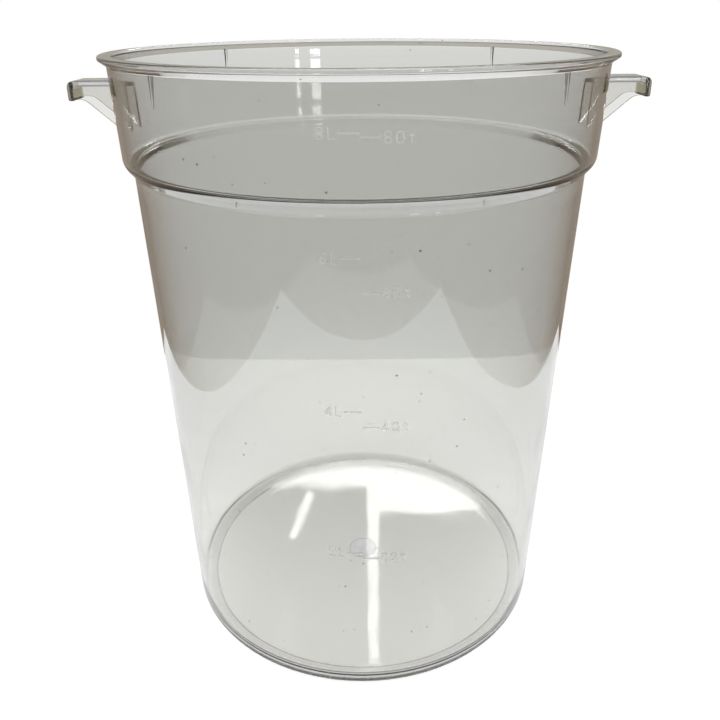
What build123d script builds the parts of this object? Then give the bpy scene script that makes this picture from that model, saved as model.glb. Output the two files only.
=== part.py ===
from build123d import *
import math
import os

# Clear round dough proofing container without a lid, in millimetres, +Z up.
# The origin is the centre of the foot. The handles lie along X, and the scale faces -Y.
# The real container is one moulding, so each solid here is one of its moulded features,
# and the features meet face to face.

# Body
height = 279.0
base_radius = 92.9
wall_flare = 9.7
shoulder_drop = 44.0
shoulder_rise = 5.0
shoulder_step = 4.2
collar_flare = 1.9
wall_thickness = 2.4
shoulder_outer_round = 5.0
shoulder_inner_round = 4.0
ledge_lift = 0.5
ledge_edge_round = 0.8
ledge_corner_round = 1.2

# Rim flange
rim_overhang = 3.3
rim_depth = 4.0
rim_edge_depth = 1.6
rim_top_round = 0.8
rim_bottom_round = 0.5
rim_neck_round = 0.5
rim_bore_round = 0.5

# Foot and floor
floor_level = 4.0
floor_recess = 1.0
foot_width = 5.6
foot_corner_round = 3.0
floor_corner_round = 3.0
foot_ring_height = 9.0

# Gate disc under the middle of the floor
gate_radius = 7.7
gate_depth = 0.6
gate_edge_round = 0.3
gate_nub_radius = 1.4
gate_nub_depth = 0.2

# Handles
handle_drop = 12.2
handle_reach = 22.6
handle_width = 16.0
handle_plate = 2.5
handle_web = 2.0
handle_lip = 2.8
handle_lip_height = 8.6
handle_web_height = 8.0
handle_web_run = 8.0
handle_web_angle = 41.5
handle_web_round = 5.0
handle_top_round = 4.0
handle_lip_round = 1.4
handle_lip_inner_round = 0.5
handle_plan_round = 3.0
handle_edge_round = 0.8
handle_pocket_round = 1.5

# Stacking ribs inside the collar
rib_drop = 3.5
rib_height = 12.0
rib_depth = 1.6
rib_thickness = 1.2
rib_side_angle = 46.4

# Raised scale on the front of the wall
mark_raise = 0.4
tick_length = 7.0
tick_width = 0.6
stroke_width = 0.55
glyph_height = 4.4
glyph_width = 2.7
glyph_gap = 1.3
label_gap = 0.8
scale_numbers = ["2", "4", "6", "8"]
litre_tick_shares = [0.287, 0.540, 0.768, 0.928]
quart_tick_shares = [0.276, 0.514, 0.720, 0.923]

# How far a cutting or trimming solid runs past what it cuts
overrun = 6.0
# How near a corner lies to the point that names it
corner_reach = 0.05

# Letter strokes, as shares of a letter's width and height.
# A closed stroke is a loop, a curved one is a smooth line, and a straight one has corners.
glyph_shares = {
    "2": [("curved", [(0.02, 0.76), (0.22, 0.97), (0.74, 0.97), (0.90, 0.66), (0.04, 0.06)]),
          ("straight", [(0.0, 0.06), (1.0, 0.06)])],
    "4": [("straight", [(0.72, 0.0), (0.72, 1.0)]),
          ("straight", [(0.72, 0.96), (0.04, 0.30)]),
          ("straight", [(0.0, 0.28), (1.0, 0.28)])],
    "6": [("closed", [(0.5, 0.30), (0.44, 0.25)]),
          ("curved", [(0.07, 0.34), (0.16, 0.72), (0.46, 0.94), (0.88, 0.92)])],
    "8": [("closed", [(0.5, 0.73), (0.36, 0.22)]),
          ("closed", [(0.5, 0.27), (0.44, 0.22)])],
    "L": [("straight", [(0.10, 1.0), (0.10, 0.0)]),
          ("straight", [(0.10, 0.06), (0.95, 0.06)])],
    "Q": [("closed", [(0.5, 0.5), (0.46, 0.44)]),
          ("straight", [(0.60, 0.26), (1.0, -0.02)])],
    "t": [("straight", [(0.45, 0.82), (0.45, 0.0)]),
          ("straight", [(0.10, 0.60), (0.82, 0.60)]),
          ("straight", [(0.45, 0.06), (0.82, 0.06)])],
}

# Levels and radii that follow from the sizes above
shoulder_top = height - shoulder_drop
shoulder_bottom = shoulder_top - shoulder_rise
rim_bottom = height - rim_depth
wall_top_radius = base_radius + wall_flare
collar_radius = wall_top_radius + shoulder_step
rim_neck_radius = collar_radius + collar_flare
rim_radius = rim_neck_radius + rim_overhang
collar_slope = collar_flare / (rim_bottom - shoulder_top)
wall_slope = wall_flare / shoulder_bottom
floor_radius = base_radius - foot_corner_round - foot_width


def wall_radius(level):
    """Outer radius of the long lower wall at a level."""
    return base_radius + wall_slope * level


def collar_face(level):
    """Outer radius of the collar at a level."""
    return collar_radius + collar_slope * (level - shoulder_top)


def ring(outline):
    """A closed outline of radius and height, turned about Z."""
    return revolve(make_face(outline), Axis.Z)


def polygon(points):
    """A closed straight-sided outline in the XZ plane."""
    return Polyline([(x, 0, z) for x, z in points], close=True)


def near(shape, x, z):
    """The corners of an XZ face that lie at one point."""
    spot = Vector(x, 0, z)
    return [corner for corner in shape.vertices() if (corner.center() - spot).length < corner_reach]


def slab(low, high):
    """A round slab wider than the container, between two levels."""
    reach = rim_radius + handle_reach + overrun
    return Pos(0, 0, (low + high) / 2) * Cylinder(reach, high - low)


def outer_points():
    """Corners of the outer outline from the foot to the rim neck."""
    return [
        (wall_radius(0), 0),
        (wall_top_radius, shoulder_bottom),
        (collar_radius, shoulder_top),
        (rim_neck_radius, rim_bottom),
    ]


def inner_points():
    """Corners of the cavity outline: one wall inside the outer one, with a flat ledge at the shoulder."""
    ledge_level = shoulder_top + ledge_lift
    wall_gap = wall_thickness * math.hypot(1, wall_slope)
    collar_gap = wall_thickness * math.hypot(1, collar_slope)
    return [
        (wall_radius(floor_level) - wall_gap, floor_level),
        (wall_radius(ledge_level) - wall_gap, ledge_level),
        (collar_face(ledge_level) - collar_gap, ledge_level),
        (collar_face(height) - collar_gap, height),
    ]


def rounded(face, spots):
    """Round the corners of an XZ face, each given as a point and a radius."""
    for x, z, radius in spots:
        face = fillet(near(face, x, z), radius)
    return face


def outer_body():
    """Everything inside the outer surface, foot to rim, without the handles."""
    foot, wall_end, collar_start, neck = outer_points()
    edge = (rim_radius, height - rim_edge_depth)
    lip = (rim_radius, height)
    face = make_face(polygon([(0, 0), foot, wall_end, collar_start, neck, edge, lip, (0, height)]))
    face = rounded(face, [
        (*foot, foot_corner_round),
        (*wall_end, shoulder_inner_round),
        (*collar_start, shoulder_outer_round),
        (*neck, rim_neck_round),
        (*edge, rim_bottom_round),
        (*lip, rim_top_round),
    ])
    return revolve(face, Axis.Z)


def cavity():
    """The space that the dough fills, open at the rim."""
    floor_edge, wall_end, collar_start, mouth = inner_points()
    mouth_lip = (mouth[0] + rim_bore_round, height)
    above = (mouth_lip[0], height + overrun)
    bevel = (mouth[0], height - rim_bore_round)
    face = make_face(polygon([
        (0, floor_level), floor_edge, wall_end, collar_start, bevel, mouth_lip, above,
        (0, height + overrun),
    ]))
    face = rounded(face, [
        (*floor_edge, floor_corner_round),
        (*wall_end, ledge_edge_round),
        (*collar_start, ledge_corner_round),
    ])
    return revolve(face, Axis.Z)


def foot_recess():
    """The shallow round recess under the floor, inside the foot."""
    return Pos(0, 0, floor_recess / 2) * Cylinder(floor_radius, floor_recess)


def floor_core():
    """A round block around the flat floor, as wide as the inside of the foot ring."""
    return Cylinder(floor_radius, foot_ring_height + foot_ring_height)


def foot_ring(shell):
    """The standing ring with the rounded corner between floor and wall."""
    return (shell & slab(0, foot_ring_height)) - floor_core()


def gate_disc():
    """The round disc under the middle of the floor, with its small gate nub."""
    disc_bottom = floor_recess - gate_depth
    disc = Pos(0, 0, floor_recess - gate_depth / 2) * Cylinder(gate_radius, gate_depth)
    disc = fillet(disc.faces().sort_by(Axis.Z)[0].edges(), gate_edge_round)
    nub = Pos(0, 0, disc_bottom - gate_nub_depth / 2) * Cylinder(gate_nub_radius, gate_nub_depth)
    return disc + nub


def handle_outline(root):
    """Side view of a handle: top plate, downturned lip and the webs' lower edge."""
    top = height - handle_drop
    tip = rim_neck_radius + handle_reach
    lip_bottom = top - handle_lip_height
    web_bottom = top - handle_web_height
    bend = tip - handle_web_run
    drop = (bend - root) * math.tan(math.radians(handle_web_angle))
    lip_inside = tip - handle_lip
    face = make_face(polygon([
        (root, top), (tip, top), (tip, lip_bottom), (lip_inside, lip_bottom),
        (lip_inside, web_bottom), (bend, web_bottom), (root, web_bottom - drop),
    ]))
    return rounded(face, [
        (tip, top, handle_top_round),
        (tip, lip_bottom, handle_lip_round),
        (lip_inside, lip_bottom, handle_lip_inner_round),
        (bend, web_bottom, handle_web_round),
    ])


def handle_pocket(root):
    """Side view of the finger space under the top plate, open below."""
    ceiling = height - handle_drop - handle_plate
    inside = rim_neck_radius + handle_reach - handle_lip
    face = make_face(polygon([
        (root, ceiling), (inside, ceiling), (inside, shoulder_top), (root, shoulder_top),
    ]))
    return rounded(face, [(inside, ceiling, handle_pocket_round)])


def handle_plan(root):
    """The handle seen from above: a tab with rounded outer corners."""
    tip = rim_neck_radius + handle_reach
    half = handle_width / 2
    face = make_face(Polyline([(root, -half), (tip, -half), (tip, half), (root, half)], close=True))
    corners = face.vertices().group_by(Axis.X)[-1]
    return extrude(fillet(corners, handle_plan_round), height)


def handle_end_view():
    """The handle seen from the tip: its top edges are eased."""
    half = handle_width / 2
    top = height - handle_drop
    outline = Polyline([(0, -half, 0), (0, half, 0), (0, half, top), (0, -half, top)], close=True)
    face = make_face(outline)
    corners = face.vertices().group_by(Axis.Z)[-1]
    return extrude(fillet(corners, handle_edge_round), rim_neck_radius + handle_reach, dir=(1, 0, 0))


def handle(body):
    """The handle on the +X side, cut to the collar's outer surface."""
    root = collar_radius - overrun
    solid = extrude(handle_outline(root), handle_width / 2, both=True)
    solid = solid & handle_plan(root) & handle_end_view()
    pocket_half = handle_width / 2 - handle_web
    solid = solid - extrude(handle_pocket(root), pocket_half, both=True)
    return solid - body


def stacking_rib(space, angle):
    """A thin upright rib on the collar's inner wall, full depth at the top and fading out downwards."""
    top = height - rib_drop
    bottom = top - rib_height
    mouth = inner_points()[-1][0]
    wall_inside = mouth - collar_slope * (height - top)
    foot_inside = mouth - collar_slope * (height - bottom)
    face = make_face(polygon([
        (wall_inside - rib_depth, top), (wall_inside + overrun, top),
        (wall_inside + overrun, bottom), (foot_inside, bottom),
    ]))
    fin = extrude(face, rib_thickness / 2, both=True)
    return Rot(0, 0, angle) * fin & space


def mark_skin():
    """A thin skin over the wall and the collar, as deep as the scale stands proud."""
    wall_skin = ring(polygon([
        (wall_radius(foot_ring_height), foot_ring_height),
        (wall_radius(foot_ring_height) + mark_raise, foot_ring_height),
        (wall_radius(shoulder_bottom) + mark_raise, shoulder_bottom),
        (wall_radius(shoulder_bottom), shoulder_bottom),
    ]))
    collar_skin = ring(polygon([
        (collar_radius, shoulder_top),
        (collar_radius + mark_raise, shoulder_top),
        (rim_neck_radius + mark_raise, rim_bottom),
        (rim_neck_radius, rim_bottom),
    ]))
    return wall_skin, collar_skin


def stroke(kind, shares):
    """One stroke of a letter as a flat shape, from its lower left corner."""
    if kind == "closed":
        (across, up), (half_across, half_up) = shares
        grow = stroke_width / 2
        half_x, half_y = half_across * glyph_width, half_up * glyph_height
        loop = Ellipse(half_x + grow, half_y + grow) - Ellipse(half_x - grow, half_y - grow)
        return Pos(across * glyph_width, up * glyph_height) * loop
    points = [(x * glyph_width, y * glyph_height) for x, y in shares]
    line = Spline(points) if kind == "curved" else Polyline(points)
    return trace(line, stroke_width)


def letter(name):
    """A letter or number as one flat shape."""
    shape = Sketch()
    for kind, shares in glyph_shares[name]:
        shape = shape + stroke(kind, shares)
    return shape


def front_prism(flat, x, level):
    """A flat shape stood up in front of the container and pushed through its front wall."""
    upright = Plane(origin=(x, 0, level), x_dir=(1, 0, 0), z_dir=(0, -1, 0))
    return extrude(upright * flat, rim_radius + overrun)


def mark_row(text, side, level, skin):
    """A tick and its label, left of the middle where side is -1 and right where it is 1."""
    parts = [front_prism(Rectangle(tick_length, tick_width), side * tick_length / 2, level) & skin]
    pitch = glyph_width + glyph_gap
    span = len(text) * pitch - glyph_gap
    reach = tick_length + label_gap
    start = reach if side > 0 else -reach - span
    for place, name in enumerate(text):
        foot = level - glyph_height / 2
        parts.append(front_prism(letter(name), start + place * pitch, foot) & skin)
    return parts


def scale(tick_shares, unit, side):
    """All ticks and labels of one unit, as separate raised solids."""
    wall_skin, collar_skin = mark_skin()
    solids = []
    for number, share in zip(scale_numbers, tick_shares):
        level = share * height
        skin = wall_skin if level < shoulder_bottom else collar_skin
        for part in mark_row([number] + unit, side, level, skin):
            solids.extend(part.solids())
    return Compound(children=solids)


def build():
    """Every named feature of the container."""
    body = outer_body()
    space = cavity()
    shell = body - space - foot_recess()
    right_handle = handle(body)
    parts = {
        "floor": shell & floor_core(),
        "foot_ring": foot_ring(shell),
        "lower_wall": shell & slab(foot_ring_height, shoulder_bottom - shoulder_inner_round),
        "shoulder": shell & slab(shoulder_bottom - shoulder_inner_round,
                                 shoulder_top + shoulder_outer_round),
        "collar": shell & slab(shoulder_top + shoulder_outer_round, rim_bottom),
        "rim": shell & slab(rim_bottom, height),
        "gate_disc": gate_disc(),
        "handle_right": right_handle,
        "handle_left": Rot(0, 0, 180) * right_handle,
        "litre_scale": scale(litre_tick_shares, ["L"], -1),
        "quart_scale": scale(quart_tick_shares, ["Q", "t"], 1),
    }
    rib_angles = {
        "back_right": rib_side_angle,
        "back_left": 180 - rib_side_angle,
        "front_left": 180 + rib_side_angle,
        "front_right": -rib_side_angle,
    }
    for name, angle in rib_angles.items():
        parts["stacking_rib_" + name] = stacking_rib(space, angle)
    return parts


os.makedirs("parts", exist_ok=True)
for node, shape in build().items():
    export_step(shape, "parts/" + node + ".step")
    print(node, len(shape.solids()), "solids", round(shape.volume), "mm3")
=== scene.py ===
import math

import bmesh
import bpy
from bpy.props import FloatProperty, FloatVectorProperty, IntProperty, PointerProperty
from mathutils import Matrix, Vector


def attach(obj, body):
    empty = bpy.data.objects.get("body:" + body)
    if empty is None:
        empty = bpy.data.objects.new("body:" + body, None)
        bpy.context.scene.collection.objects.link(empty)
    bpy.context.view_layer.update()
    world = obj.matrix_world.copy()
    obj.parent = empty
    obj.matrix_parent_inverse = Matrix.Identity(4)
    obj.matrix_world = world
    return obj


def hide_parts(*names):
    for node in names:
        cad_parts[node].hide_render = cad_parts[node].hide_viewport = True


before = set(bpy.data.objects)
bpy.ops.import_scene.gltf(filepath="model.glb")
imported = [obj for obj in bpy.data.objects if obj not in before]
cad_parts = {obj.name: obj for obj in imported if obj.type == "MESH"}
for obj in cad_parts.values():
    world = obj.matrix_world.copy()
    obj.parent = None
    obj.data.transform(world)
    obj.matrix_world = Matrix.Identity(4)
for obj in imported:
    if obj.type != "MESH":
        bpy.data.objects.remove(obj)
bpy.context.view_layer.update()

bl_info = {
    "name": "Clear Proofing Container",
    "version": (1, 0, 0),
    "blender": (4, 5, 0),
    "location": "3D View > Sidebar > Container",
    "description": "Builds and finishes a clear round proofing container with a raised scale",
    "category": "Add Mesh",
}

MM = 0.001
BODY = "root"

# Real sizes of the patterns in the plastic
SCUFF_SIZE = 9 * MM
FLOW_SIZE = 38 * MM
FLOW_DEPTH = 0.35 * MM
SPECK_SPACING = 12 * MM
SPECK_EDGE = 0.55 * MM
SPECK_CORE = 0.35 * MM
GRAIN_SIZE = 0.6 * MM
GRAIN_DEPTH = 0.02 * MM

# Roughness of the plastic: polished, scuffed, and what a worn or unpolished place adds
POLISHED, SCUFFED, MATT = 0.015, 0.07, 0.25

# Levels where the painted shade up the wall, a greyer tone for the darker room seen through it,
# starts and is full, and what is left of it on the flange, the ledge and the grips
TONE_START, TONE_FULL = 20 * MM, 140 * MM
PALE_SHARE = 0.4

# Mesh detail: the turn of one segment of a round, the longest run along the section, what
# counts as one point, and the edge angle that stays sharp
ROUND_STEP = math.radians(9)
LONGEST_RUN = 6 * MM
MERGE = 0.001 * MM
SHARP = math.radians(35)

# Light panels on an upright plane behind the container: across, up, turn in degrees, width
# and height, in metres
PANELS_BEHIND = 1.2
PANELS = (
    (-0.13, 0.775, 0.0, 0.28, 0.11),
    (0.21, 0.82, 0.0, 0.40, 0.19),
    (0.028, 1.19, 0.0, 0.034, 0.56),
    (-0.172, 0.92, 21.8, 0.022, 0.156),
)

# Lamps: name, middle, aim, width, height and glow, in metres
WINDOW_AIM = (-0.028, 0.1, 0.25)
LAMPS = (
    ("top", (0.0, -0.3, 1.5), (0.0, -0.3, 0.0), 2.2, 0.4, 3.5),
    ("pane_left", (1.108, -1.546, 0.295), WINDOW_AIM, 0.07, 0.17, 9.0),
    ("pane_right", (0.81, -1.71, 0.295), WINDOW_AIM, 0.18, 0.17, 9.0),
)

# The camera's sensor in mm, and its clipping in metres
SENSOR = 36.0
CLIP = (0.01, 50.0)

# Everything that is one clear moulding, and so one seamless piece without inner faces
MOULDING_NODES = (
    "floor", "foot_ring", "lower_wall", "shoulder", "collar", "rim",
    "handle_right", "handle_left",
    "stacking_rib_back_right", "stacking_rib_back_left",
    "stacking_rib_front_left", "stacking_rib_front_right", "gate_disc",
)
SCALE_NODES = ("litre_scale", "quart_scale")


def srgb(code):
    """A linear colour with alpha from an sRGB hex value."""
    channels = [int(code[place:place + 2], 16) / 255 for place in (1, 3, 5)]
    linear = [c / 12.92 if c <= 0.04045 else ((c + 0.055) / 1.055) ** 2.4 for c in channels]
    return (*linear, 1.0)


def size(name, value, about):
    """A length property in metres, given in millimetres."""
    return FloatProperty(
        name=name, description=about, default=value * MM, min=0.0, precision=5,
        subtype="DISTANCE", unit="LENGTH",
    )


def colour(name, code, about):
    """A colour property, given as an sRGB hex value."""
    return FloatVectorProperty(
        name=name, description=about, default=srgb(code), size=4, min=0.0, max=1.0,
        subtype="COLOR",
    )


class TubSizes(bpy.types.PropertyGroup):
    """Sizes of the round body."""

    height: size("Height", 279.0, "Overall height, foot to rim")
    base_radius: size("Base radius", 92.9, "Outer radius of the wall at the foot, before its round")
    wall_top_radius: size("Wall top radius", 102.6, "Outer radius of the wall below the shoulder")
    collar_radius: size("Collar radius", 106.8, "Outer radius at the top of the shoulder")
    neck_radius: size("Neck radius", 108.7, "Outer radius of the collar under the rim")
    rim_radius: size("Rim radius", 112.0, "Outer radius of the rim flange")
    shoulder_bottom: size("Shoulder bottom", 230.0, "Level where the wall turns outwards")
    shoulder_top: size("Shoulder top", 235.0, "Level where the collar starts")
    wall: size("Wall", 2.4, "Wall thickness")
    rim_depth: size("Rim depth", 4.0, "Depth of the flange at the neck")
    rim_edge: size("Rim edge", 1.6, "Depth of the flange at its edge")
    floor_level: size("Floor level", 4.0, "Level of the floor's upper side")
    recess: size("Recess", 1.0, "Depth of the recess under the floor")
    recess_radius: size("Recess radius", 84.3, "Radius of the recess under the floor")
    shoulder_inner_round: size("Shoulder inner round", 4.0, "Round under the shoulder")
    shoulder_outer_round: size("Shoulder outer round", 5.0, "Round at the top of the shoulder")
    ledge_lift: size("Ledge lift", 0.5, "Inner ledge above the top of the shoulder")
    ledge_edge_round: size("Ledge edge round", 0.8, "Round of the ledge's edge")
    ledge_corner_round: size("Ledge corner round", 1.2, "Hollow round behind the ledge")
    corner_round: size("Corner round", 3.0, "Round at the foot and around the floor")
    neck_round: size("Neck round", 0.5, "Hollow round between the collar and the flange")
    rim_round: size("Rim round", 0.8, "Round on top of the rim's edge")
    gate_radius: size("Gate radius", 7.7, "Radius of the gate disc under the floor")
    gate_depth: size("Gate depth", 0.6, "How far the gate disc stands out of the recess")
    nub_radius: size("Nub radius", 1.4, "Radius of the nub on the gate disc")
    nub_depth: size("Nub depth", 0.2, "How far the nub stands out of the gate disc")
    gate_round: size("Gate round", 0.3, "Round of the gate disc's edge")
    small_round: size("Small round", 0.4, "Round of the smaller corners")
    steps: IntProperty(name="Steps", description="Steps of the full turn", default=288, min=24)


class GripSizes(bpy.types.PropertyGroup):
    """Sizes of the grips and of the stacking ribs."""

    drop: size("Drop", 12.2, "Top of the grips below the rim")
    reach: size("Reach", 22.6, "Tip of the grips beyond the neck")
    width: size("Width", 16.0, "Width of the grips")
    plate: size("Plate", 2.5, "Thickness of the top plate")
    web: size("Web", 2.0, "Thickness of the side webs")
    lip: size("Lip", 2.8, "Thickness of the downturned lip")
    lip_height: size("Lip height", 8.6, "Height of the lip")
    web_height: size("Web height", 8.0, "Height of the webs behind the lip")
    web_run: size("Web run", 8.0, "Level part of the webs' lower edge, from the tip")
    web_angle: FloatProperty(
        name="Web angle", description="Slope of the webs' lower edge", default=math.radians(41.5),
        subtype="ANGLE", unit="ROTATION",
    )
    web_round: size("Web round", 5.0, "Round where the webs' lower edge turns down")
    top_round: size("Top round", 4.0, "Round at the top of the tip")
    lip_round: size("Lip round", 1.4, "Round at the foot of the lip")
    plan_round: size("Plan round", 3.0, "Round of the tip's corners, from above")
    edge_round: size("Edge round", 0.8, "Round of the top edges")
    pocket_round: size("Pocket round", 1.5, "Round inside the finger space")
    rib_drop: size("Rib drop", 3.5, "Top of the stacking ribs below the rim")
    rib_height: size("Rib height", 12.0, "Height of the stacking ribs")
    rib_depth: size("Rib depth", 1.6, "How far the ribs stand out at the top")
    rib_thickness: size("Rib thickness", 1.2, "Thickness of the stacking ribs")
    rib_round: size("Rib round", 0.2, "Round of the ribs' edges")
    rib_angle: FloatProperty(
        name="Rib angle", description="Turn of the ribs from the grips' axis",
        default=math.radians(46.4), subtype="ANGLE", unit="ROTATION",
    )
    root: size("Root", 0.5, "How far the grips run into the wall before they are fused with it")


class PlasticLook(bpy.types.PropertyGroup):
    """Finish of the clear plastic, with the painted shade on its wall, floor, foot and grips' tips.
    """

    low: colour("Low", "#FBFBF7", "What the surface lets through near the foot")
    # Painted shade: the darker room seen through the upper wall, painted as this greyer tone near
    # the rim.
    high: colour("High", "#DDDEDA", "What the surface lets through near the rim")
    depth: colour("Depth", "#8484B4", "Colour that deep plastic turns to")
    density: FloatProperty(
        name="Density", description="How fast the depth colour comes in, per metre",
        default=24.0, min=0.0,
    )
    index: FloatProperty(
        name="IOR", description="Refraction index of the plastic", default=1.585, min=1.0,
    )
    marks: colour("Marks", "#FAFAF8", "Colour of the raised scale")
    # Painted shade: the container's floor is painted this darker tint, for the shade seen through
    # it.
    base: colour("Base", "#E9E9E4", "What the scuffed floor lets through")
    # The foot is worn matt; this darker tone on it is painted shade of the table under it.
    worn_and_shaded: colour("Worn", "#D8D6D0", "Colour of the worn foot")
    # Painted shade: the grips' thick tips are painted this darker colour, for the room seen through
    # them.
    tip: colour("Tip", "#ACA894", "Colour of the grips' thick tips")
    gate: colour("Gate", "#EEEEF8", "Colour of the gate disc")
    speck: colour("Speck", "#5A544C", "Colour of the specks")


class StudioLook(bpy.types.PropertyGroup):
    """Camera, floor and light."""

    distance: size("Distance", 349.23, "Camera's distance in front of the axis")
    eye: size("Eye level", 297.33, "Camera's height above the floor")
    tilt: FloatProperty(
        name="Tilt", description="How far the camera looks down", default=0.380,
        subtype="ANGLE", unit="ROTATION",
    )
    roll: FloatProperty(
        name="Roll", description="Turn of the camera about its view", default=-0.008,
        subtype="ANGLE", unit="ROTATION",
    )
    lens: FloatProperty(name="Lens", description="Focal length in mm", default=36.94)
    shift: FloatVectorProperty(
        name="Shift", description="Shift of the frame", size=2, default=(-0.0014, -0.0833),
    )
    board_width: size("Board width", 620.0, "Width of the floor board")
    board_front: size("Board front", 420.0, "The board's front edge before the axis")
    board_back: size("Board back", 253.0, "The board's back edge behind the axis")
    board_drop: size("Board drop", 0.05, "Gap between the foot and the board")
    floor: colour("Floor", "#BCBCBA", "Colour of the floor board under the lamps")
    lift: FloatProperty(
        name="Lift", description="What is added to the floor where it is seen, to reach white",
        default=0.8, min=0.0,
    )
    dim: FloatProperty(
        name="Dim", description="Share of that lift which reflections of the floor go without",
        default=0.25, min=0.0, max=1.0,
    )
    glow: FloatProperty(
        name="Glow", description="Strength of the panels behind", default=8.5, min=0.0,
    )
    fill: colour("Fill", "#D8D8D8", "Even light of the room on what scatters it")
    sides: colour("Sides", "#A4988A", "Colour of the room below the table, in reflections")
    upper: colour("Upper", "#C6C4BA", "Colour of the room above the table, in reflections")


# Materials


def new_material(name):
    """An empty node material with an output; gives the tree and the output node."""
    material = bpy.data.materials.new(name)
    material.use_nodes = True
    tree = material.node_tree
    tree.nodes.clear()
    return material, tree, tree.nodes.new("ShaderNodeOutputMaterial")


def add(tree, kind, settings=None, inputs=None):
    """Add a node: settings are its own fields, inputs are values or sockets to link."""
    node = tree.nodes.new(kind)
    for field, value in (settings or {}).items():
        setattr(node, field, value)
    for socket, value in (inputs or {}).items():
        if isinstance(value, bpy.types.NodeSocket):
            tree.links.new(value, node.inputs[socket])
        else:
            node.inputs[socket].default_value = value
    return node


def surface_marks(tree, place):
    """Roughness of the scuffs, normals of the slow flow waves, and a mask of the specks, which
    are under a millimetre across and well apart."""
    scuffs = add(tree, "ShaderNodeTexNoise", inputs={
        "Vector": place, "Scale": 1 / SCUFF_SIZE, "Detail": 6.0, "Roughness": 0.65,
    })
    rough = add(tree, "ShaderNodeMapRange", inputs={
        "Value": scuffs.outputs["Fac"], "From Min": 0.45, "From Max": 0.75,
        "To Min": POLISHED, "To Max": SCUFFED,
    })
    flow = add(tree, "ShaderNodeTexNoise", inputs={
        "Vector": place, "Scale": 1 / FLOW_SIZE, "Detail": 1.0,
    })
    wave = add(tree, "ShaderNodeBump", inputs={
        "Height": flow.outputs["Fac"], "Distance": FLOW_DEPTH, "Strength": 0.3,
    })
    cells = add(tree, "ShaderNodeTexVoronoi", inputs={
        "Vector": place, "Scale": 1 / SPECK_SPACING,
    })
    specks = add(tree, "ShaderNodeMapRange", inputs={
        "Value": cells.outputs["Distance"],
        "From Min": SPECK_EDGE / SPECK_SPACING, "From Max": SPECK_CORE / SPECK_SPACING,
    })
    return rough.outputs["Result"], wave.outputs["Normal"], specks.outputs["Result"]


def matt_places(tree, level, radius, s):
    """Masks of the foot, worn matt where it slides on the table and darkened there by painted
    shade of the table under it, and of the gate disc, which was never polished."""
    low = add(tree, "ShaderNodeMapRange", inputs={
        "Value": level, "From Min": 1.8 * s.corner_round, "From Max": 0.5 * s.corner_round,
    })
    ring = add(tree, "ShaderNodeMath", {"operation": "GREATER_THAN"}, {
        0: radius, 1: s.recess_radius - s.small_round,
    })
    worn_and_shaded = add(tree, "ShaderNodeMath", {"operation": "MULTIPLY"}, {
        0: low.outputs["Result"], 1: ring.outputs[0],
    })
    under = add(tree, "ShaderNodeMath", {"operation": "LESS_THAN"}, {0: level, 1: 2 * s.recess})
    middle = add(tree, "ShaderNodeMath", {"operation": "LESS_THAN"}, {
        0: radius, 1: s.gate_radius + s.small_round / 4,
    })
    gate = add(tree, "ShaderNodeMath", {"operation": "MULTIPLY"}, {
        0: under.outputs[0], 1: middle.outputs[0],
    })
    return worn_and_shaded.outputs[0], gate.outputs[0]


def painted_shade_share(tree, level, radius, s):
    """How much painted shade the plastic gets, as a greyer tone for the darker room seen
    through it: more up the wall, but less on the ledge, the flange and the grips."""
    share = add(tree, "ShaderNodeMapRange", {"interpolation_type": "SMOOTHSTEP"}, {
        "Value": level, "From Min": TONE_START, "From Max": TONE_FULL,
    })
    pale = add(tree, "ShaderNodeMath", {"operation": "COMPARE"}, {
        0: level, 1: s.shoulder_top + s.ledge_lift, 2: s.ledge_corner_round,
    })
    for measure, edge in ((level, s.height - s.rim_depth), (radius, s.neck_radius)):
        beyond = add(tree, "ShaderNodeMath", {"operation": "GREATER_THAN"}, {
            0: measure, 1: edge,
        })
        pale = add(tree, "ShaderNodeMath", {"operation": "MAXIMUM"}, {
            0: pale.outputs[0], 1: beyond.outputs[0],
        })
    pale = add(tree, "ShaderNodeMapRange", inputs={
        "Value": pale.outputs[0], "To Min": 1.0, "To Max": PALE_SHARE,
    })
    return add(tree, "ShaderNodeMath", {"operation": "MULTIPLY"}, {
        0: share.outputs["Result"], 1: pale.outputs["Result"],
    }).outputs[0]


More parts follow.
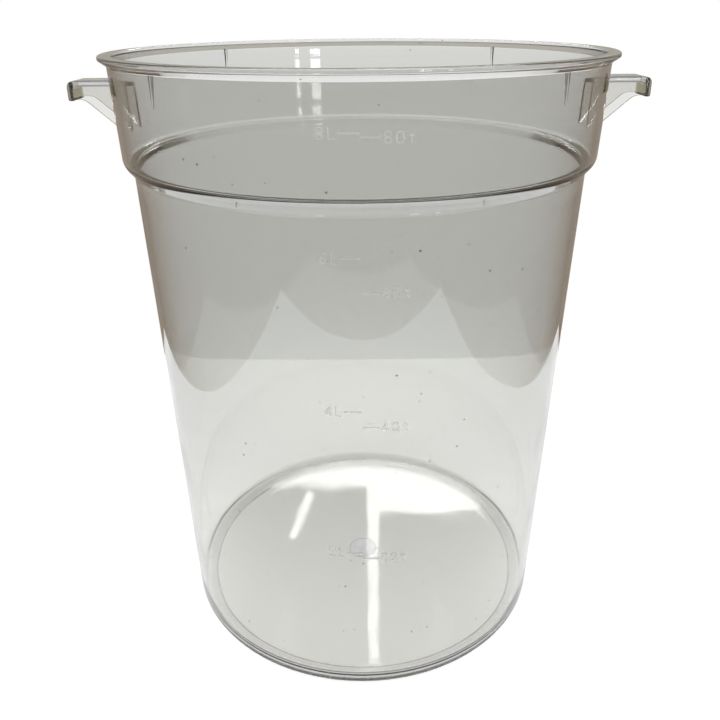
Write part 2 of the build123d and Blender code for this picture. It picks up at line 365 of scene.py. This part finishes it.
def clear_polycarbonate(look, s, g):
    """Clear polycarbonate, injection moulded in a polished tool.

    The eye sees through it, with hard highlights, fine scuffs and a few specks from use, slow
    flow waves, painted shade (a greyer tone up the wall, a darker floor and dark tips on the
    grips, for the darker room and table seen through them), a foot worn matt and darkened by
    painted shade, a matt gate disc, and a violet tinge where the plastic is deep.
    """
    material, tree, output = new_material("polycarbonate_clear")
    place = add(tree, "ShaderNodeTexCoord").outputs["Object"]
    level = add(tree, "ShaderNodeSeparateXYZ", inputs={0: place}).outputs["Z"]
    flat = add(tree, "ShaderNodeVectorMath", {"operation": "MULTIPLY"}, {
        0: place, 1: (1, 1, 0),
    })
    radius = add(tree, "ShaderNodeVectorMath", {"operation": "LENGTH"}, {
        0: flat.outputs["Vector"],
    }).outputs["Value"]
    rough, wave, specks = surface_marks(tree, place)
    worn_and_shaded, gate = matt_places(tree, level, radius, s)
    matt = add(tree, "ShaderNodeMath", {"operation": "MAXIMUM"}, {0: worn_and_shaded, 1: gate})
    rough = add(tree, "ShaderNodeMath", {"operation": "MULTIPLY_ADD"}, {
        0: matt.outputs[0], 1: MATT, 2: rough,
    })

    # Painted shade: a greyer tone up the wall, for the darker room seen through it.
    tone = add(tree, "ShaderNodeMix", {"data_type": "RGBA"}, {
        "Factor": painted_shade_share(tree, level, radius, s), 6: look.low, 7: look.high,
    })
    # Painted shade on the container's floor, mixed over the tone.
    base = add(tree, "ShaderNodeMath", {"operation": "LESS_THAN"}, {
        0: level, 1: s.floor_level + s.corner_round,
    })
    # Painted shade on the grips' tips.
    shaded_tips = add(tree, "ShaderNodeMath", {"operation": "GREATER_THAN"}, {
        0: radius, 1: s.neck_radius + g.reach - g.lip,
    })
    for mask, tint in (
        (base.outputs[0], look.base), (worn_and_shaded, look.worn_and_shaded), (gate, look.gate),
        (shaded_tips.outputs[0], look.tip), (specks, look.speck),
    ):
        tone = add(tree, "ShaderNodeMix", {"data_type": "RGBA"}, {
            "Factor": mask, 6: tone.outputs[2], 7: tint,
        })
    plastic = add(tree, "ShaderNodeBsdfPrincipled", inputs={
        "Base Color": tone.outputs[2], "IOR": look.index, "Transmission Weight": 1.0,
        "Roughness": rough.outputs[0], "Normal": wave,
    })
    tree.links.new(plastic.outputs["BSDF"], output.inputs["Surface"])
    depth = add(tree, "ShaderNodeVolumeAbsorption", inputs={
        "Color": look.depth, "Density": look.density,
    })
    tree.links.new(depth.outputs["Volume"], output.inputs["Volume"])
    return material


def matt_polycarbonate(look):
    """The same plastic on the raised scale, where the tool was left matt: it scatters light, so
    the eye sees it whiter than the wall."""
    material, tree, output = new_material("polycarbonate_marks")
    place = add(tree, "ShaderNodeTexCoord").outputs["Object"]
    grain = add(tree, "ShaderNodeTexNoise", inputs={
        "Vector": place, "Scale": 1 / GRAIN_SIZE, "Detail": 3.0,
    })
    rough = add(tree, "ShaderNodeMapRange", inputs={
        "Value": grain.outputs["Fac"], "From Min": 0.3, "From Max": 0.7,
        "To Min": 0.1, "To Max": 0.2,
    })
    relief = add(tree, "ShaderNodeBump", inputs={
        "Height": grain.outputs["Fac"], "Distance": GRAIN_DEPTH, "Strength": 0.5,
    })
    plastic = add(tree, "ShaderNodeBsdfPrincipled", inputs={
        "Base Color": look.marks, "IOR": look.index, "Transmission Weight": 0.65,
        "Roughness": rough.outputs["Result"], "Normal": relief.outputs["Normal"],
    })
    tree.links.new(plastic.outputs["BSDF"], output.inputs["Surface"])
    return material


def reflected(tree, rays):
    """1 for a ray that has been reflected, and 0 for one that comes straight or through the
    walls."""
    return add(tree, "ShaderNodeMath", {"operation": "GREATER_THAN"}, {
        0: rays.outputs["Glossy Depth"], 1: 0.5,
    }).outputs[0]


def paint(piece, material):
    """Give a piece one material."""
    piece.data.materials.clear()
    piece.data.materials.append(material)


# Shapes


def mesh_from(bm, name):
    """A mesh of a bmesh, which is freed."""
    mesh = bpy.data.meshes.new(name)
    bm.to_mesh(mesh)
    bm.free()
    return mesh


def placed(name, mesh):
    """A new object of a mesh, in the scene."""
    piece = bpy.data.objects.new(name, mesh)
    bpy.context.scene.collection.objects.link(piece)
    return piece


def add_plate(bm, middle, width, height):
    """A flat plate of that width and height, placed and turned by a matrix."""
    bmesh.ops.create_grid(
        bm, x_segments=1, y_segments=1, size=0.5,
        matrix=middle @ Matrix.Diagonal((width, height, 1, 1)),
    )


def wall_face(s, level):
    """Outer radius of the long wall at a level."""
    return s.base_radius + (s.wall_top_radius - s.base_radius) * level / s.shoulder_bottom


def collar_face(s, level, inside=False):
    """Outer or inner radius of the collar at a level."""
    rise = s.height - s.rim_depth - s.shoulder_top
    slope = (s.neck_radius - s.collar_radius) / rise
    outside = s.collar_radius + slope * (level - s.shoulder_top)
    return outside - s.wall * math.hypot(1, slope) if inside else outside


def tub_outline(s):
    """Corners of the tub's section as radius, level and round, from the floor's middle over
    the rim to the middle of the recess."""
    ledge = s.shoulder_top + s.ledge_lift
    wall_gap = s.wall * math.hypot(1, (s.wall_top_radius - s.base_radius) / s.shoulder_bottom)
    gate = s.recess - s.gate_depth
    return [
        (0, s.floor_level, 0),
        (wall_face(s, s.floor_level) - wall_gap, s.floor_level, s.corner_round),
        (wall_face(s, ledge) - wall_gap, ledge, s.ledge_edge_round),
        (collar_face(s, ledge, inside=True), ledge, s.ledge_corner_round),
        (collar_face(s, s.height, inside=True), s.height, s.small_round),
        (s.rim_radius, s.height, s.rim_round),
        (s.rim_radius, s.height - s.rim_edge, s.small_round),
        (s.neck_radius, s.height - s.rim_depth, s.neck_round),
        (s.collar_radius, s.shoulder_top, s.shoulder_outer_round),
        (s.wall_top_radius, s.shoulder_bottom, s.shoulder_inner_round),
        (s.base_radius, 0, s.corner_round),
        (s.recess_radius, 0, s.small_round),
        (s.recess_radius, s.recess, s.small_round),
        (s.gate_radius, s.recess, 0),
        (s.gate_radius, gate, s.gate_round),
        (s.nub_radius, gate, 0),
        (s.nub_radius, gate - s.nub_depth, 0),
        (0, gate - s.nub_depth, 0),
    ]


def round_corner(bm, corner, radius):
    """Round a corner of an outline with an arc of that radius."""
    ends = [edge.other_vert(corner).co - corner.co for edge in corner.link_edges]
    opening = ends[0].angle(ends[1])
    bmesh.ops.bevel(
        bm, geom=[corner], offset=radius / math.tan(opening / 2), offset_type="ABSOLUTE",
        segments=max(3, round((math.pi - opening) / ROUND_STEP)), profile=0.5,
        affect="VERTICES", material=-1,
    )


def draw_outline(bm, outline, closed):
    """Draw corners of (x, z, round) in the XZ plane, joined by edges or filled by a face."""
    corners = [(bm.verts.new((x, 0, z)), rounding) for x, z, rounding in outline]
    if closed:
        bm.faces.new([corner for corner, _ in corners])
    else:
        for (start, _), (end, _) in zip(corners, corners[1:]):
            bm.edges.new((start, end))
    for corner, rounding in corners:
        if rounding > 0:
            round_corner(bm, corner, rounding)


def prism(outline, width, turn=Matrix.Identity(3), edge_round=0.0):
    """A mesh of an XZ outline, drawn out to a width along Y and turned."""
    bm = bmesh.new()
    draw_outline(bm, outline, closed=True)
    drawn = bmesh.ops.extrude_face_region(bm, geom=bm.faces[:])["geom"]
    tops = [part for part in drawn if isinstance(part, bmesh.types.BMVert)]
    bmesh.ops.translate(bm, verts=tops, vec=(0, width, 0))
    bmesh.ops.translate(bm, verts=bm.verts, vec=(0, -width / 2, 0))
    if edge_round:
        bmesh.ops.bevel(
            bm, geom=bm.edges[:], offset=edge_round, offset_type="OFFSET", segments=3,
            profile=0.5, affect="EDGES", material=-1,
        )
    bmesh.ops.rotate(bm, verts=bm.verts, cent=(0, 0, 0), matrix=turn)
    bmesh.ops.recalc_face_normals(bm, faces=bm.faces)
    return mesh_from(bm, "prism")


def joined(meshes):
    """One mesh of several."""
    bm = bmesh.new()
    for mesh in meshes:
        bm.from_mesh(mesh)
    return mesh_from(bm, "joined")


def boolean(mesh, other, how):
    """The union, difference or intersection of two closed meshes, as a new mesh."""
    holder, tool = placed("holder", mesh), placed("tool", other)
    cut = holder.modifiers.new("cut", "BOOLEAN")
    cut.object, cut.operation, cut.solver = tool, how, "EXACT"
    depsgraph = bpy.context.evaluated_depsgraph_get()
    result = bpy.data.meshes.new_from_object(holder.evaluated_get(depsgraph))
    for thing in (holder, tool):
        bpy.data.objects.remove(thing)
    return result


def smooth(mesh):
    """Smooth all but the sharp edges."""
    bm = bmesh.new()
    bm.from_mesh(mesh)
    for face in bm.faces:
        face.smooth = True
    for edge in bm.edges:
        edge.smooth = len(edge.link_faces) == 2 and edge.calc_face_angle() < SHARP
    bm.to_mesh(mesh)
    bm.free()


def tub_mesh(s):
    """The round body, spun from its section."""
    bm = bmesh.new()
    draw_outline(bm, tub_outline(s), closed=False)
    # Short runs keep each long wall's shading flat right up to its rounds.
    for edge in list(bm.edges):
        cuts = int(edge.calc_length() / LONGEST_RUN)
        if cuts:
            bmesh.ops.subdivide_edges(bm, edges=[edge], cuts=cuts)
    bmesh.ops.spin(
        bm, geom=bm.verts[:] + bm.edges[:], cent=(0, 0, 0), axis=(0, 0, 1),
        angle=math.tau, steps=s.steps, use_merge=True,
    )
    bmesh.ops.remove_doubles(bm, verts=bm.verts, dist=MERGE)
    bmesh.ops.recalc_face_normals(bm, faces=bm.faces)
    return mesh_from(bm, "tub")


def grip_mesh(s, g):
    """The grip on the +X side: its side view, plan and end view in common, less the pocket."""
    root = s.collar_radius - g.root
    top = s.height - g.drop
    tip = s.neck_radius + g.reach
    low = top - g.lip_height
    bend = tip - g.web_run
    web_low = top - g.web_height
    inside = tip - g.lip
    drop = (bend - root) * math.tan(g.web_angle)
    half = g.width / 2
    side = prism([
        (root, top, 0), (tip, top, g.top_round), (tip, low, g.lip_round), (inside, low, 0),
        (inside, web_low, 0), (bend, web_low, g.web_round), (root, web_low - drop, 0),
    ], g.width)
    lie = Matrix.Rotation(math.pi / 2, 3, "X")
    plan = prism([
        (root, -half, 0), (tip, -half, g.plan_round), (tip, half, g.plan_round), (root, half, 0),
    ], 2 * s.height, lie)
    face = Matrix.Rotation(math.pi / 2, 3, "Z")
    end = prism([
        (-half, 0, 0), (half, 0, 0), (half, top, g.edge_round), (-half, top, g.edge_round),
    ], 2 * tip, face)
    ceiling = top - g.plate
    pocket = prism([
        (root - g.root, ceiling, 0), (inside, ceiling, g.pocket_round),
        (inside, s.shoulder_top, 0), (root - g.root, s.shoulder_top, 0),
    ], g.width - 2 * g.web)
    solid = boolean(side, plan, "INTERSECT")
    solid = boolean(solid, end, "INTERSECT")
    return boolean(solid, pocket, "DIFFERENCE")


def rib_mesh(s, g, angle):
    """A thin stacking rib on the collar's inner side, fading out downwards."""
    top = s.height - g.rib_drop
    bottom = top - g.rib_height
    behind = collar_face(s, top, inside=True) + s.wall / 2
    return prism([
        (collar_face(s, top, inside=True) - g.rib_depth, top, 0), (behind, top, 0),
        (behind, bottom, 0), (collar_face(s, bottom, inside=True) - g.rib_round, bottom, 0),
    ], g.rib_thickness, Matrix.Rotation(angle, 3, "Z"), g.rib_round)


class CONTAINER_OT_moulding(bpy.types.Operator):
    """Build the clear moulding: tub, gate disc, grips and stacking ribs as one seamless piece"""

    bl_idname = "container.moulding"
    bl_label = "Moulding"

    def execute(self, context):
        sizes, grips = context.scene.container_sizes, context.scene.container_grips
        right = grip_mesh(sizes, grips)
        left = right.copy()
        left.transform(Matrix.Rotation(math.pi, 4, "Z"))
        side = grips.rib_angle
        turns = (side, math.pi - side, math.pi + side, -side)
        ribs = [rib_mesh(sizes, grips, angle) for angle in turns]
        mesh = boolean(tub_mesh(sizes), joined([right, left, *ribs]), "UNION")
        smooth(mesh)
        mesh.name = "moulding"
        piece = placed("moulding", mesh)
        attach(piece, BODY)
        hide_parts(*MOULDING_NODES)
        paint(piece, clear_polycarbonate(context.scene.container_plastic, sizes, grips))
        return {"FINISHED"}


class CONTAINER_OT_scale(bpy.types.Operator):
    """Finish the raised ticks and labels"""

    bl_idname = "container.scale"
    bl_label = "Raised scale"

    def execute(self, context):
        material = matt_polycarbonate(context.scene.container_plastic)
        for node in SCALE_NODES:
            paint(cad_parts[node], material)
        return {"FINISHED"}


class CONTAINER_OT_stage(bpy.types.Operator):
    """Set the floor, the room, the lamps and the camera"""

    bl_idname = "container.stage"
    bl_label = "Stage"

    def execute(self, context):
        studio = context.scene.container_studio
        self.floor(studio)
        self.room(context, studio)
        self.panels(studio)
        self.lamps(context)
        self.camera(context, studio)
        context.scene.view_settings.view_transform = "Standard"
        return {"FINISHED"}

    def floor(self, studio):
        """A pale floor board that is seen white and keeps the shadow. Its back edge lies close
        behind the container, where a table would end."""
        front, back = studio.board_front, studio.board_back
        bm = bmesh.new()
        middle = Matrix.Translation((0, (back - front) / 2, -studio.board_drop))
        add_plate(bm, middle, studio.board_width, front + back)
        board = placed("studio_floor", mesh_from(bm, "studio_floor"))
        material, tree, output = new_material("pale_floor")
        rays = add(tree, "ShaderNodeLightPath")
        seen = add(tree, "ShaderNodeMath", {"operation": "MAXIMUM"}, {
            0: rays.outputs["Is Camera Ray"], 1: rays.outputs["Is Glossy Ray"],
        })
        seen = add(tree, "ShaderNodeMath", {"operation": "MAXIMUM"}, {
            0: seen.outputs[0], 1: rays.outputs["Is Transmission Ray"],
        })
        lift = add(tree, "ShaderNodeMapRange", inputs={
            "Value": reflected(tree, rays), "To Min": studio.lift,
            "To Max": studio.lift * (1 - studio.dim),
        })
        lift = add(tree, "ShaderNodeMath", {"operation": "MULTIPLY"}, {
            0: seen.outputs[0], 1: lift.outputs["Result"],
        })
        surface = add(tree, "ShaderNodeBsdfPrincipled", inputs={
            "Base Color": studio.floor, "Roughness": 0.9, "Specular IOR Level": 0.0,
            "Emission Color": (1, 1, 1, 1), "Emission Strength": lift.outputs[0],
        })
        tree.links.new(surface.outputs["BSDF"], output.inputs["Surface"])
        paint(board, material)

    def room(self, context, studio):
        """A white backdrop, seen straight or through the container, and a darker room in the
        reflections, which gives the clear walls their darker edges."""
        world = bpy.data.worlds.new("studio")
        context.scene.world = world
        world.use_nodes = True
        tree = world.node_tree
        tree.nodes.clear()
        way = add(tree, "ShaderNodeTexCoord").outputs["Object"]
        along = add(tree, "ShaderNodeSeparateXYZ", inputs={0: way})
        above = add(tree, "ShaderNodeMapRange", inputs={
            "Value": along.outputs["Z"], "From Min": 0.0, "From Max": 0.08,
        })
        rays = add(tree, "ShaderNodeLightPath")
        tone = add(tree, "ShaderNodeMix", {"data_type": "RGBA"}, {
            "Factor": above.outputs["Result"], 6: studio.sides, 7: studio.upper,
        })
        tone = add(tree, "ShaderNodeMix", {"data_type": "RGBA"}, {
            "Factor": reflected(tree, rays), 6: (1, 1, 1, 1), 7: tone.outputs[2],
        })
        tone = add(tree, "ShaderNodeMix", {"data_type": "RGBA"}, {
            "Factor": rays.outputs["Is Diffuse Ray"], 6: tone.outputs[2], 7: studio.fill,
        })
        back = add(tree, "ShaderNodeBackground", inputs={"Color": tone.outputs[2]})
        output = add(tree, "ShaderNodeOutputWorld")
        tree.links.new(back.outputs["Background"], output.inputs["Surface"])

    def panels(self, studio):
        """Light panels behind, which show only as highlights: a crescent and streaks on the
        container's floor."""
        bm = bmesh.new()
        upright = Matrix.Rotation(math.pi / 2, 4, "X")
        for across, up, turn, width, height in PANELS:
            turned = upright @ Matrix.Rotation(math.radians(turn), 4, "Z")
            middle = Matrix.Translation((across, PANELS_BEHIND, up)) @ turned
            add_plate(bm, middle, width, height)
        piece = placed("light_panels", mesh_from(bm, "light_panels"))
        material, tree, output = new_material("light_panel")
        rays = add(tree, "ShaderNodeLightPath")
        # After one to three passes through the plastic, the panels would show as hard blocks
        # in the rim.
        caught = add(tree, "ShaderNodeMath", {"operation": "COMPARE"}, {
            0: rays.outputs["Transmission Depth"], 1: 2.0, 2: 1.5,
        })
        shown = add(tree, "ShaderNodeMath", {"operation": "SUBTRACT", "use_clamp": True}, {
            0: reflected(tree, rays), 1: caught.outputs[0],
        })
        clear = add(tree, "ShaderNodeBsdfTransparent")
        glow = add(tree, "ShaderNodeEmission", inputs={"Strength": studio.glow})
        surface = add(tree, "ShaderNodeMixShader", inputs={
            0: shown.outputs[0], 1: clear.outputs["BSDF"], 2: glow.outputs["Emission"],
        })
        tree.links.new(surface.outputs["Shader"], output.inputs["Surface"])
        paint(piece, material)

    def lamps(self, context):
        """A wide softbox overhead and two panes of a window behind the camera."""
        for name, middle, aim, width, height, glow in LAMPS:
            lamp = bpy.data.lights.new(name, "AREA")
            lamp.shape, lamp.size, lamp.size_y = "RECTANGLE", width, height
            lamp.energy = math.pi * width * height * glow
            holder = bpy.data.objects.new(name, lamp)
            context.scene.collection.objects.link(holder)
            facing = (Vector(aim) - Vector(middle)).to_track_quat("-Z", "Y").to_matrix().to_4x4()
            holder.matrix_world = Matrix.Translation(middle) @ facing
            # The softbox shows as a soft arc on the shoulder's ledge, and not through the rim.
            holder.visible_transmission = name != "top"

    def camera(self, context, studio):
        """The camera of the reference view."""
        data = bpy.data.cameras.new("camera")
        data.sensor_width, data.lens = SENSOR, studio.lens
        data.shift_x, data.shift_y = studio.shift
        data.clip_start, data.clip_end = CLIP
        camera = bpy.data.objects.new("camera", data)
        context.scene.collection.objects.link(camera)
        camera.matrix_world = (
            Matrix.Translation((0, -studio.distance, studio.eye))
            @ Matrix.Rotation(math.pi / 2 - studio.tilt, 4, "X")
            @ Matrix.Rotation(studio.roll, 4, "Z")
        )
        context.scene.camera = camera


class CONTAINER_PT_panel(bpy.types.Panel):
    """Lists the container's steps and sizes"""

    bl_idname = "CONTAINER_PT_panel"
    bl_label = "Proofing Container"
    bl_space_type = "VIEW_3D"
    bl_region_type = "UI"
    bl_category = "Container"

    def draw(self, context):
        for step in STEPS:
            self.layout.operator(step.bl_idname)
        for name in GROUPS:
            box = self.layout.box()
            group = getattr(context.scene, name)
            for field in group.__annotations__:
                box.prop(group, field)


STEPS = (CONTAINER_OT_moulding, CONTAINER_OT_scale, CONTAINER_OT_stage)
GROUPS = {
    "container_sizes": TubSizes, "container_grips": GripSizes,
    "container_plastic": PlasticLook, "container_studio": StudioLook,
}
CLASSES = (*GROUPS.values(), *STEPS, CONTAINER_PT_panel)


def register():
    for kind in CLASSES:
        bpy.utils.register_class(kind)
    for name, kind in GROUPS.items():
        setattr(bpy.types.Scene, name, PointerProperty(type=kind))


def unregister():
    for name in GROUPS:
        delattr(bpy.types.Scene, name)
    for kind in reversed(CLASSES):
        bpy.utils.unregister_class(kind)


def main():
    register()
    for step in STEPS:
        group, name = step.bl_idname.split(".")
        getattr(getattr(bpy.ops, group), name)()


if __name__ == "__main__":
    main()
